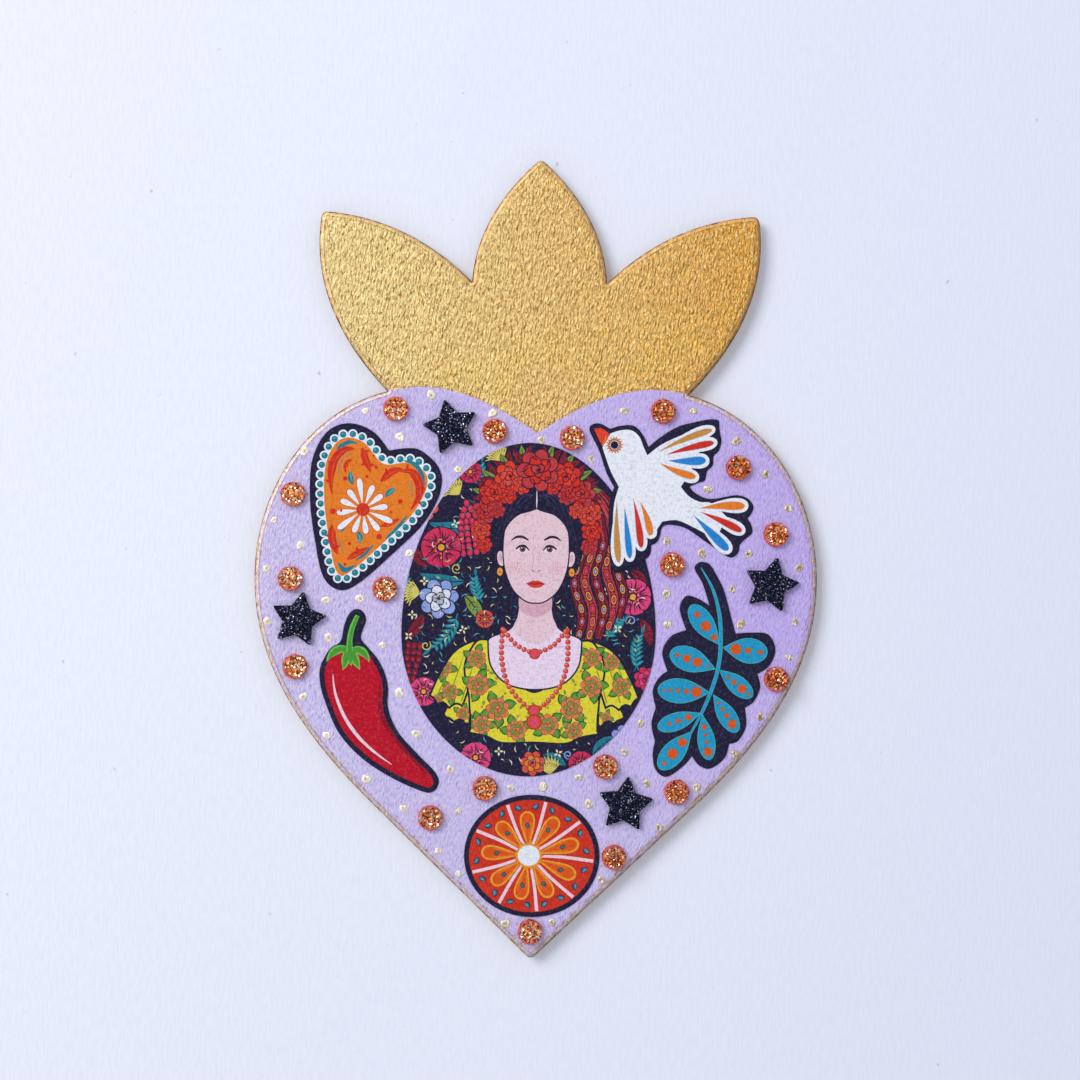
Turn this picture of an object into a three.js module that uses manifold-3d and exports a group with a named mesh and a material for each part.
// Heart wall decoration: a flat heart-shaped board with a crown of three petals, hung on one nail.
// Textured paint covers its front, and printed cotton cut-outs, foam stars and foam dots are glued on.
//
// Millimetres. +Z is up, +X is to the right seen from the front, the front faces -Y.
// The wall is the plane y = 0 and the origin is where the hanger's middle notch sits on the nail.
// Outlines are drawn in (x, z) from the heart's cleft, the point where its two lobes meet.

import * as THREE from 'three';
import { mergeVertices } from 'three/addons/utils/BufferGeometryUtils.js';
import Module from 'manifold-3d';

// Driving dimensions

const board = {
  thickness: 3,
  edgeEase: 1.2,
  nailAboveCleft: 23,
};

const heart = {
  halfWidth: 68.3,
  widestBelowCleft: 35.4,
  lobeOut: 28,
  lobeRise: 10.8,
  cleftPull: [7, 4.6],
  crestPull: 11,
  sidePull: 20,
  flankOut: 39.1,
  flankBelowCleft: 90.3,
  flankPull: 26.3,
  tipBelowCleft: 127.9,
  tipRadius: 1.5,
};

const crown = {
  middleTipRise: 66.7,
  middleBulge: [15.4, 53.2],
  notchOut: 16.4,
  notchRise: 36.6,
  petalTopBulge: [32.3, 52.2],
  sideTipOut: 53,
  sideTipRise: 53.3,
  petalSideBulge: [56.8, 30.4],
  footOut: 36.6,
};

const coat = { thickness: 0.3, seam: 0.3 };
const print = { thickness: 0.3, clearance: 0.3, foldOver: 1 };

const oval = { halfWidth: 30.8, aboveWidest: 46.2, belowWidest: 34.6, roundness: 0.53 };
const citrus = { halfWidth: 16.4, halfHeight: 14.8 };
const foam = { thickness: 2, edgeEase: 0.3 };
const dot = { radius: 3, citrusGap: 0.5, beakGap: 1.1, ovalGap: 1 };
const star = { tipRadius: 7.1, valleyRadius: 3.8, tipRounding: 0.14, arms: 5 };

const hanger = {
  length: 45,
  height: 8,
  sheet: 0.8,
  standOff: 2.2,
  earLength: 9,
  bendRun: 3,
  teeth: 7,
  toothPitch: 3,
  toothDepth: 1.6,
};
const pin = { headRadius: 1.5, headRise: 0.9, shankRadius: 0.6, bite: 1.8, clearance: 0.3 };

// Fineness of the faceted curves

const curveSteps = 14;
const splineSpacing = 1.6;
const roundSides = 24;

// Levels from the wall towards the front, along -Y

const boardBack = -hanger.standOff;
const boardFront = boardBack - board.thickness;
const coatFront = boardFront - coat.thickness;
const blockReach = 400;

// Places of what is glued on, as [across, down]. Across is 0 at the middle, 1 at the oval's half width and
// 2 at the heart's, to the right or, when it is negative, to the left. Down is a share of the heart's depth.

const sideRoom = heart.halfWidth - oval.halfWidth;

const ovalPlace = [-0.051, 0.38];
const heartCutoutPlace = [-1.246, 0.133];
const dovePlace = [1.031, 0.117];
const chiliPlace = [-1.246, 0.508];
const leafPlace = [1.299, 0.446];
const citrusPlace = [-0.002, 0.801];

const starPlaces = [
  { at: [-0.679, -0.009], topTip: 104 },
  { at: [-1.707, 0.359], topTip: 80 },
  { at: [1.696, 0.282], topTip: 77.5 },
  { at: [0.727, 0.701], topTip: 84 },
];

const dotPlaces = [
  [-1.097, -0.042], [-0.337, -0.002], [0.985, -0.044], [1.477, 0.061], [1.725, 0.186], [1.058, 0.246],
  [1.74, 0.46], [1.108, 0.676], [0.568, 0.63], [-0.007, 0.944], [-0.803, 0.731], [-0.377, 0.674],
  [-1.725, 0.448], [-1.763, 0.282], [-1.151, 0.299], [-1.752, 0.122],
];

// Outlines of the cut-outs from their own places, in order round the shape; 'corner' marks a sharp point.
// They are drawn for this room beside the oval and this depth of heart, and keep their fit to both.

const drawnSideRoom = 37.5;
const drawnDepth = 127.9;

const heartCutoutOutline = [
  [4.1, 12.3, 'corner'], [0.1, 16.9], [-5.8, 18.8], [-11.1, 16.5], [-14.5, 9.7], [-14.9, 0], [-13.5, -10.1],
  [-11.4, -18.6], [-7.2, -21.7], [-2.3, -19.5], [5.6, -12.4], [12.6, -5.3], [16.6, 2.3], [16.3, 8.1], [11.9, 12.4],
  [8.1, 12.9],
];

const doveOutline = [
  [-19.4, 15.8], [-18.6, 17.3], [-16.6, 17.4], [-14.4, 16.2, 'corner'], [-11.8, 17], [-8.6, 17], [-6.4, 14.8],
  [-5.1, 11.9, 'corner'], [-2.1, 14.4], [1.9, 16.9], [6, 18.1], [10.1, 18.9], [11.9, 18.6, 'corner'], [12.2, 15.6],
  [12.6, 13.7], [12, 11.3], [10.7, 9.9], [10.6, 7.7], [9.2, 6.3], [8.7, 4], [7.3, 3.5], [5, 2.5, 'corner'],
  [6.2, 1.1], [9, -0.3], [11.7, -0.3], [15, 0.4], [17.1, 0.5], [19.3, -0.3], [20.6, -2.2], [19.9, -4.1],
  [19.1, -5, 'corner'], [20.1, -6.6], [20.3, -8.5], [18.6, -10.1], [17.3, -11.5, 'corner'], [17.1, -13.2],
  [15.7, -14.5], [13.8, -14], [9.1, -10.8], [4.2, -7.6], [0.4, -6.8], [-1.5, -7.4], [-2.1, -9.9], [-2.8, -11.2],
  [-4.1, -11.8, 'corner'], [-4.3, -14], [-5.8, -15.5], [-7.7, -16.6], [-9.8, -17.3], [-12, -18.7], [-13.6, -17.5],
  [-14.1, -13.3], [-14.5, -7], [-14.3, -1.5], [-13.2, 2, 'corner'], [-15.2, 5.7], [-17, 10.9],
];

const chiliOutline = [
  [-4, 21.6], [-2.3, 21.6], [-1.1, 20.2], [-1, 18.6], [-1.7, 16.8], [-2.1, 14.6], [-0.4, 12.5], [2, 9.7], [3.8, 6.2],
  [4.6, 2.7], [4.7, -2.3], [7.2, -7.9], [12.6, -13.8], [15.6, -16.7], [17.1, -19], [17, -20.8], [15.7, -22.3],
  [13.3, -22.2], [6.2, -19.2], [-1.3, -14.5], [-7.3, -8.1], [-10.9, 0.1], [-11.9, 4.2], [-11.8, 7.8], [-9.6, 12],
  [-7.1, 13.8], [-6.3, 17.3], [-5.4, 20],
];

const leafOutline = [
  [-1.6, 26.4], [0.2, 25.7], [1.6, 23.5], [3.6, 19.6], [5.6, 12.6], [6.6, 9.1, 'corner'], [10.5, 9.4], [14.5, 9],
  [16.3, 5.4], [14.9, 1.5], [12, -0.6, 'corner'], [12.7, -3.8], [11.2, -7.3], [9.1, -8.8, 'corner'], [9.4, -13.4],
  [7.5, -16.9], [5.4, -17.6, 'corner'], [4.3, -21.1], [0.8, -23.7], [-2, -22.8], [-3.6, -20.7, 'corner'],
  [-5.5, -23], [-9.6, -25.8], [-12.3, -24.2], [-13.1, -20.7], [-12.6, -17.3, 'corner'], [-13.5, -13],
  [-12.5, -9.1, 'corner'], [-13.3, -4.9], [-11.7, -1.7], [-9.8, -0.2, 'corner'], [-11.1, 4.4], [-9.1, 8.2],
  [-5.4, 9.8, 'corner'], [-7, 14.9], [-5.6, 18], [-2.9, 17.6], [0.2, 15.8, 'corner'], [-1.5, 21], [-3.5, 24.5],
  [-3, 25.9],
];

// Solids

const wasm = await Module();
wasm.setup();

function solidOf(geometry) {
  const bare = geometry.clone();
  bare.deleteAttribute('normal');
  bare.deleteAttribute('uv');
  const merged = mergeVertices(bare);
  return new wasm.Manifold(new wasm.Mesh({
    numProp: 3,
    vertProperties: Float32Array.from(merged.attributes.position.array),
    triVerts: Uint32Array.from(merged.index.array),
  }));
}

function geometryOf(solid) {
  const mesh = solid.getMesh();
  const geometry = new THREE.BufferGeometry();
  geometry.setAttribute('position', new THREE.BufferAttribute(mesh.vertProperties, 3));
  geometry.setIndex(new THREE.BufferAttribute(mesh.triVerts, 1));
  geometry.computeVertexNormals();
  return geometry;
}

// A slab from an outline in (x, z): its back is flat at y = 0 and it reaches forward by its thickness.
// inset draws the outline in (or out, when it is negative), and ease rounds the front edge.
function slab(outline, thickness, { inset = 0, ease = 0 } = {}) {
  const easeSteps = 3;
  const backSpare = ease > 0 ? ease : thickness;
  const geometry = new THREE.ExtrudeGeometry(new THREE.Shape(outline), {
    depth: thickness,
    bevelEnabled: true,
    bevelSegments: ease > 0 ? easeSteps : 1,
    bevelThickness: backSpare,
    bevelSize: ease,
    bevelOffset: -inset - ease,
  });
  geometry.translate(0, 0, -backSpare);
  geometry.rotateX(Math.PI / 2);
  return solidOf(geometry).subtract(blockBehind(0));
}

// A slab that runs past both faces of a layer that starts at y = 0, for cutting it
function cutter(outline, thickness, inset = 0) {
  return slab(outline, 3 * thickness, { inset }).translate([0, thickness, 0]);
}

// Blocks that hold everything behind, or in front of, the plane y = level
function blockBehind(level) {
  const box = new THREE.BoxGeometry(blockReach, blockReach, blockReach);
  box.translate(0, level + blockReach / 2, 0);
  return solidOf(box);
}

function blockBefore(level) {
  return blockBehind(level).translate([0, -blockReach, 0]);
}

// Outlines

function mirrored(rightHalf) {
  const left = rightHalf.slice(1, -1).map((p) => new THREE.Vector2(-p.x, p.y));
  return [...rightHalf, ...left.reverse()];
}

// Height of a lobe's outer shoulder above the cleft, at a distance out from the middle
function shoulderRise(out) {
  const share = (out - heart.lobeOut) / (heart.halfWidth - heart.lobeOut);
  return -heart.widestBelowCleft + (heart.widestBelowCleft + heart.lobeRise) * Math.sqrt(1 - share * share);
}

// The heart's right edge from an angle on the lobe's shoulder (90 degrees is its crest) down to the tip
function followHeart(path, fromAngle) {
  const flankLean = Math.atan2(heart.flankOut, heart.tipBelowCleft - heart.flankBelowCleft);
  const tipCentre = -heart.tipBelowCleft + heart.tipRadius / Math.sin(flankLean);
  path.absellipse(
    heart.lobeOut, -heart.widestBelowCleft,
    heart.halfWidth - heart.lobeOut, heart.widestBelowCleft + heart.lobeRise,
    fromAngle, 0, true,
  );
  path.bezierCurveTo(
    heart.halfWidth, -heart.widestBelowCleft - heart.sidePull,
    heart.flankOut + heart.flankPull * Math.sin(flankLean),
    -heart.flankBelowCleft + heart.flankPull * Math.cos(flankLean),
    heart.flankOut, -heart.flankBelowCleft,
  );
  path.absarc(0, tipCentre, heart.tipRadius, -flankLean, -Math.PI / 2, true);
}

function heartOutline() {
  const path = new THREE.Path();
  path.moveTo(0, 0);
  path.bezierCurveTo(
    heart.cleftPull[0], heart.cleftPull[1],
    heart.lobeOut - heart.crestPull, heart.lobeRise,
    heart.lobeOut, heart.lobeRise,
  );
  followHeart(path, Math.PI / 2);
  return mirrored(withoutRepeats(path.getPoints(curveSteps)));
}

// The whole board: the crown's petals down to where they meet the lobes, then the heart
function boardOutline() {
  const footRise = shoulderRise(crown.footOut);
  const footShare = (crown.footOut - heart.lobeOut) / (heart.halfWidth - heart.lobeOut);
  const path = new THREE.Path();
  path.moveTo(0, crown.middleTipRise);
  path.quadraticCurveTo(...crown.middleBulge, crown.notchOut, crown.notchRise);
  path.quadraticCurveTo(...crown.petalTopBulge, crown.sideTipOut, crown.sideTipRise);
  path.quadraticCurveTo(...crown.petalSideBulge, crown.footOut, footRise);
  followHeart(path, Math.acos(footShare));
  return mirrored(withoutRepeats(path.getPoints(curveSteps)));
}

function ovalOutline() {
  const pull = oval.halfWidth * oval.roundness;
  const path = new THREE.Path();
  path.moveTo(0, oval.aboveWidest);
  path.bezierCurveTo(
    pull, oval.aboveWidest,
    oval.halfWidth, oval.aboveWidest * oval.roundness,
    oval.halfWidth, 0,
  );
  path.bezierCurveTo(
    oval.halfWidth, -oval.belowWidest * oval.roundness,
    pull, -oval.belowWidest,
    0, -oval.belowWidest,
  );
  return mirrored(withoutRepeats(path.getPoints(curveSteps)));
}

function citrusOutline() {
  const path = new THREE.Path();
  path.absellipse(0, 0, citrus.halfWidth, citrus.halfHeight, 0, 2 * Math.PI);
  return withoutRepeats(path.getPoints(roundSides));
}

function starOutline(topTipDegrees) {
  const shape = new THREE.Path();
  const armTurn = 2 * Math.PI / star.arms;
  const spot = (radius, angle) => new THREE.Vector2(radius * Math.cos(angle), radius * Math.sin(angle));
  for (let arm = 0; arm < star.arms; arm += 1) {
    const angle = THREE.MathUtils.degToRad(topTipDegrees) + arm * armTurn;
    const tip = spot(star.tipRadius, angle);
    const before = spot(star.valleyRadius, angle - armTurn / 2);
    const after = spot(star.valleyRadius, angle + armTurn / 2);
    const roundFrom = tip.clone().lerp(before, star.tipRounding);
    const roundTo = tip.clone().lerp(after, star.tipRounding);
    if (arm === 0) {
      shape.moveTo(before.x, before.y);
    } else {
      shape.lineTo(before.x, before.y);
    }
    shape.lineTo(roundFrom.x, roundFrom.y);
    shape.quadraticCurveTo(tip.x, tip.y, roundTo.x, roundTo.y);
  }
  return withoutRepeats(shape.getPoints(2));
}

// A closed outline through hand-placed points: smooth, except at those marked as corners
function drawnOutline(marks) {
  const wider = sideRoom / drawnSideRoom;
  const taller = heart.tipBelowCleft / drawnDepth;
  const points = marks.map(([x, z]) => new THREE.Vector2(x * wider, z * taller));
  const firstCorner = marks.findIndex((mark) => mark[2] === 'corner');
  if (firstCorner < 0) {
    const ring = new THREE.CatmullRomCurve3(points.map((p) => new THREE.Vector3(p.x, p.y, 0)), true);
    const count = Math.round(ring.getLength() / splineSpacing);
    return withoutRepeats(ring.getSpacedPoints(count).map((p) => new THREE.Vector2(p.x, p.y)));
  }
  const outline = [];
  let stretch = [points[firstCorner]];
  for (let step = 1; step <= points.length; step += 1) {
    const index = (firstCorner + step) % points.length;
    stretch.push(points[index]);
    if (marks[index][2] === 'corner') {
      const spline = new THREE.SplineCurve(stretch);
      const count = Math.max(1, Math.round(spline.getLength() / splineSpacing));
      outline.push(...spline.getSpacedPoints(count));
      stretch = [points[index]];
    }
  }
  return withoutRepeats(outline);
}

function withoutRepeats(points) {
  const closest = 0.01;
  return points.filter((p, i) => p.distanceTo(points[(i + 1) % points.length]) > closest);
}

// Placing

const group = new THREE.Group();

function onHeart([across, down]) {
  const withinOval = Math.min(Math.abs(across), 1) * oval.halfWidth;
  const beyondOval = Math.max(Math.abs(across) - 1, 0) * sideRoom;
  return {
    x: Math.sign(across) * (withinOval + beyondOval),
    z: -board.nailAboveCleft - down * heart.tipBelowCleft,
  };
}

function moved(solid, place, level) {
  const { x, z } = onHeart(place);
  return solid.translate([x, level, z]);
}

function add(name, geometry, look) {
  const mesh = new THREE.Mesh(geometry, new THREE.MeshStandardMaterial(look));
  mesh.name = name;
  group.add(mesh);
  return mesh;
}

const looks = {
  rawBoard: { color: '#b48a5c', roughness: 0.85, metalness: 0 },
  gold: { color: '#d3ab6a', roughness: 0.35, metalness: 0.8 },
  lavender: { color: '#cdbef0', roughness: 0.6, metalness: 0 },
  navyPrint: { color: '#28264a', roughness: 0.9, metalness: 0 },
  orangePrint: { color: '#e8822e', roughness: 0.9, metalness: 0 },
  whitePrint: { color: '#e6ebf6', roughness: 0.9, metalness: 0 },
  redPrint: { color: '#bf1a2c', roughness: 0.9, metalness: 0 },
  bluePrint: { color: '#27a0cd', roughness: 0.9, metalness: 0 },
  scarletPrint: { color: '#dc3428', roughness: 0.9, metalness: 0 },
  blackGlitter: { color: '#17171f', roughness: 0.45, metalness: 0.3 },
  copperGlitter: { color: '#c8622f', roughness: 0.3, metalness: 0.8 },
  steel: { color: '#b9b4a6', roughness: 0.35, metalness: 1 },
};

// Board, with pilot holes for the hanger's pins

const pinOut = hanger.length / 2 - hanger.earLength / 2;
const pinRise = hanger.height / 2 - hanger.toothDepth;
const pinHoleRadius = pin.shankRadius + pin.clearance;
const pilotDepth = pin.bite + pin.clearance;
const pinSides = [{ name: 'left', x: -pinOut }, { name: 'right', x: pinOut }];

function rodAlongY(radius, from, to, sides) {
  const rod = new THREE.CylinderGeometry(radius, radius, to - from, sides);
  rod.translate(0, (from + to) / 2, 0);
  return rod;
}

function pinHole(x, from, to) {
  return solidOf(rodAlongY(pinHoleRadius, from, to, roundSides / 2)).translate([x, 0, pinRise]);
}

const heartRing = heartOutline();
const boardRing = boardOutline();

function fromCleft(solid, level) {
  return solid.translate([0, level, -board.nailAboveCleft]);
}

let boardSolid = fromCleft(slab(boardRing, board.thickness, { ease: board.edgeEase }), boardBack);
for (const side of pinSides) {
  boardSolid = boardSolid.subtract(pinHole(side.x, boardBack - pilotDepth, boardBack + 1));
}
add('mdf_board', geometryOf(boardSolid), looks.rawBoard);

// Paint coats: they cover the flat of the front up to the eased edge, and meet along the heart's top edge

const flatFront = slab(boardRing, coat.thickness, { inset: board.edgeEase });
const heartCoat = flatFront.intersect(cutter(heartRing, coat.thickness));
const crownCoat = flatFront.subtract(cutter(heartRing, coat.thickness, -coat.seam));
add('heart_lavender_coat', geometryOf(fromCleft(heartCoat, boardFront)), looks.lavender);
add('crown_gold_coat', geometryOf(fromCleft(crownCoat, boardFront)), looks.gold);

// Printed cotton cut-outs; the dove lies over the edge of the oval

function cutout(name, outline, place, look) {
  add(name, geometryOf(moved(slab(outline, print.thickness), place, coatFront)), look);
}

cutout('oval_portrait_print', ovalOutline(), ovalPlace, looks.navyPrint);
cutout('heart_cutout', drawnOutline(heartCutoutOutline), heartCutoutPlace, looks.orangePrint);
cutout('chili_cutout', drawnOutline(chiliOutline), chiliPlace, looks.redPrint);
cutout('leaf_cutout', drawnOutline(leafOutline), leafPlace, looks.bluePrint);
cutout('citrus_cutout', citrusOutline(), citrusPlace, looks.scarletPrint);

function ovalCutter(growth) {
  return moved(cutter(ovalOutline(), print.thickness, -growth), ovalPlace, coatFront);
}

const foldLevel = coatFront - print.thickness;
const ovalBelowDove = ovalCutter(print.clearance).subtract(blockBefore(foldLevel));
const beyondTheFold = blockBefore(foldLevel).subtract(ovalCutter(print.clearance + print.foldOver));
const twoLayers = moved(slab(drawnOutline(doveOutline), 2 * print.thickness), dovePlace, coatFront);
add('dove_cutout', geometryOf(twoLayers.subtract(ovalBelowDove).subtract(beyondTheFold)), looks.whitePrint);

// Glitter foam stars and dots

starPlaces.forEach(({ at, topTip }, index) => {
  const solid = slab(starOutline(topTip), foam.thickness, { ease: foam.edgeEase });
  add(`glitter_star_${index + 1}`, geometryOf(moved(solid, at, coatFront)), looks.blackGlitter);
});

function dotGeometry() {
  const profile = [
    [0, -foam.thickness],
    [dot.radius - foam.edgeEase, -foam.thickness],
    [dot.radius, -foam.thickness + foam.edgeEase],
    [dot.radius, 0],
    [0, 0],
  ];
  return new THREE.LatheGeometry(profile.map(([r, y]) => new THREE.Vector2(r, y)), roundSides);
}

// Two dots keep a gap to the cut-outs beside them: one to the citrus slice, one to the beak and the oval

const citrusCentre = onHeart(citrusPlace);
const dotBesideCitrus = {
  x: citrusCentre.x + citrus.halfWidth + dot.citrusGap + dot.radius,
  z: citrusCentre.z,
};

function highestAt(outline, x) {
  const heights = outline.flatMap((p, i) => {
    const next = outline[(i + 1) % outline.length];
    const share = (x - p.x) / (next.x - p.x);
    return share >= 0 && share <= 1 ? [p.y + share * (next.y - p.y)] : [];
  });
  return Math.max(...heights);
}

const ovalCentre = onHeart(ovalPlace);
const beakReach = Math.min(...drawnOutline(doveOutline).map((p) => p.x));
const besideBeak = onHeart(dovePlace).x + beakReach - dot.beakGap - dot.radius;
const dotBesideBeak = {
  x: besideBeak,
  z: ovalCentre.z + highestAt(ovalOutline(), besideBeak - ovalCentre.x) + dot.ovalGap + dot.radius,
};

[...dotPlaces.map(onHeart), dotBesideCitrus, dotBesideBeak].forEach(({ x, z }, index) => {
  const mesh = add(`glitter_dot_${String(index + 1).padStart(2, '0')}`, dotGeometry(), looks.copperGlitter);
  mesh.position.set(x, coatFront, z);
});

// Sawtooth hanger: flat ears pinned to the board, and a bar that stands out to the wall.
// Its teeth point down, and the nail sits in the middle notch.

function hangerStrip() {
  const halfLength = hanger.length / 2;
  const bendFoot = halfLength - hanger.earLength;
  const bendTop = bendFoot - hanger.bendRun;
  const wallSide = [
    [halfLength, -hanger.standOff + hanger.sheet],
    [bendFoot, -hanger.standOff + hanger.sheet],
    [bendTop, 0],
  ];
  const boardSide = wallSide.map(([x, y]) => [x, y - hanger.sheet]);
  const mirrorX = ([x, y]) => [-x, y];
  const section = [
    ...wallSide,
    ...[...wallSide].reverse().map(mirrorX),
    ...boardSide.map(mirrorX),
    ...[...boardSide].reverse(),
  ];
  const strip = new THREE.ExtrudeGeometry(
    new THREE.Shape(section.map(([x, y]) => new THREE.Vector2(x, y))),
    { depth: hanger.height, bevelEnabled: false },
  );
  strip.translate(0, 0, -hanger.toothDepth);
  return solidOf(strip);
}

function toothCutter() {
  const spare = 1;
  const halfRow = hanger.teeth * hanger.toothPitch / 2;
  const path = new THREE.Path();
  path.moveTo(-halfRow, -hanger.toothDepth - spare);
  path.lineTo(-halfRow, -hanger.toothDepth);
  for (let tooth = 0; tooth < hanger.teeth; tooth += 1) {
    const notch = -halfRow + (tooth + 0.5) * hanger.toothPitch;
    path.lineTo(notch, 0);
    path.lineTo(notch + hanger.toothPitch / 2, -hanger.toothDepth);
  }
  path.lineTo(halfRow, -hanger.toothDepth - spare);
  return slab(path.getPoints(), hanger.sheet + 2 * spare).translate([0, spare, 0]);
}

let hangerSolid = hangerStrip().subtract(toothCutter());
for (const side of pinSides) {
  hangerSolid = hangerSolid.subtract(pinHole(side.x, boardBack - 1, 1));
}
add('sawtooth_hanger', geometryOf(hangerSolid), looks.steel);

function pinGeometry() {
  const shankEnd = -hanger.sheet - pin.bite;
  const profile = [
    [0, shankEnd - pin.shankRadius / 2],
    [pin.shankRadius, shankEnd + pin.shankRadius / 2],
    [pin.shankRadius, 0],
    [pin.headRadius, 0],
    [pin.headRadius * 0.85, pin.headRise * 0.6],
    [pin.headRadius * 0.45, pin.headRise * 0.93],
    [0, pin.headRise],
  ];
  return new THREE.LatheGeometry(profile.map(([r, y]) => new THREE.Vector2(r, y)), roundSides / 2);
}

for (const side of pinSides) {
  const mesh = add(`hanger_pin_${side.name}`, pinGeometry(), looks.steel);
  mesh.position.set(side.x, boardBack + hanger.sheet, pinRise);
}

export default group;
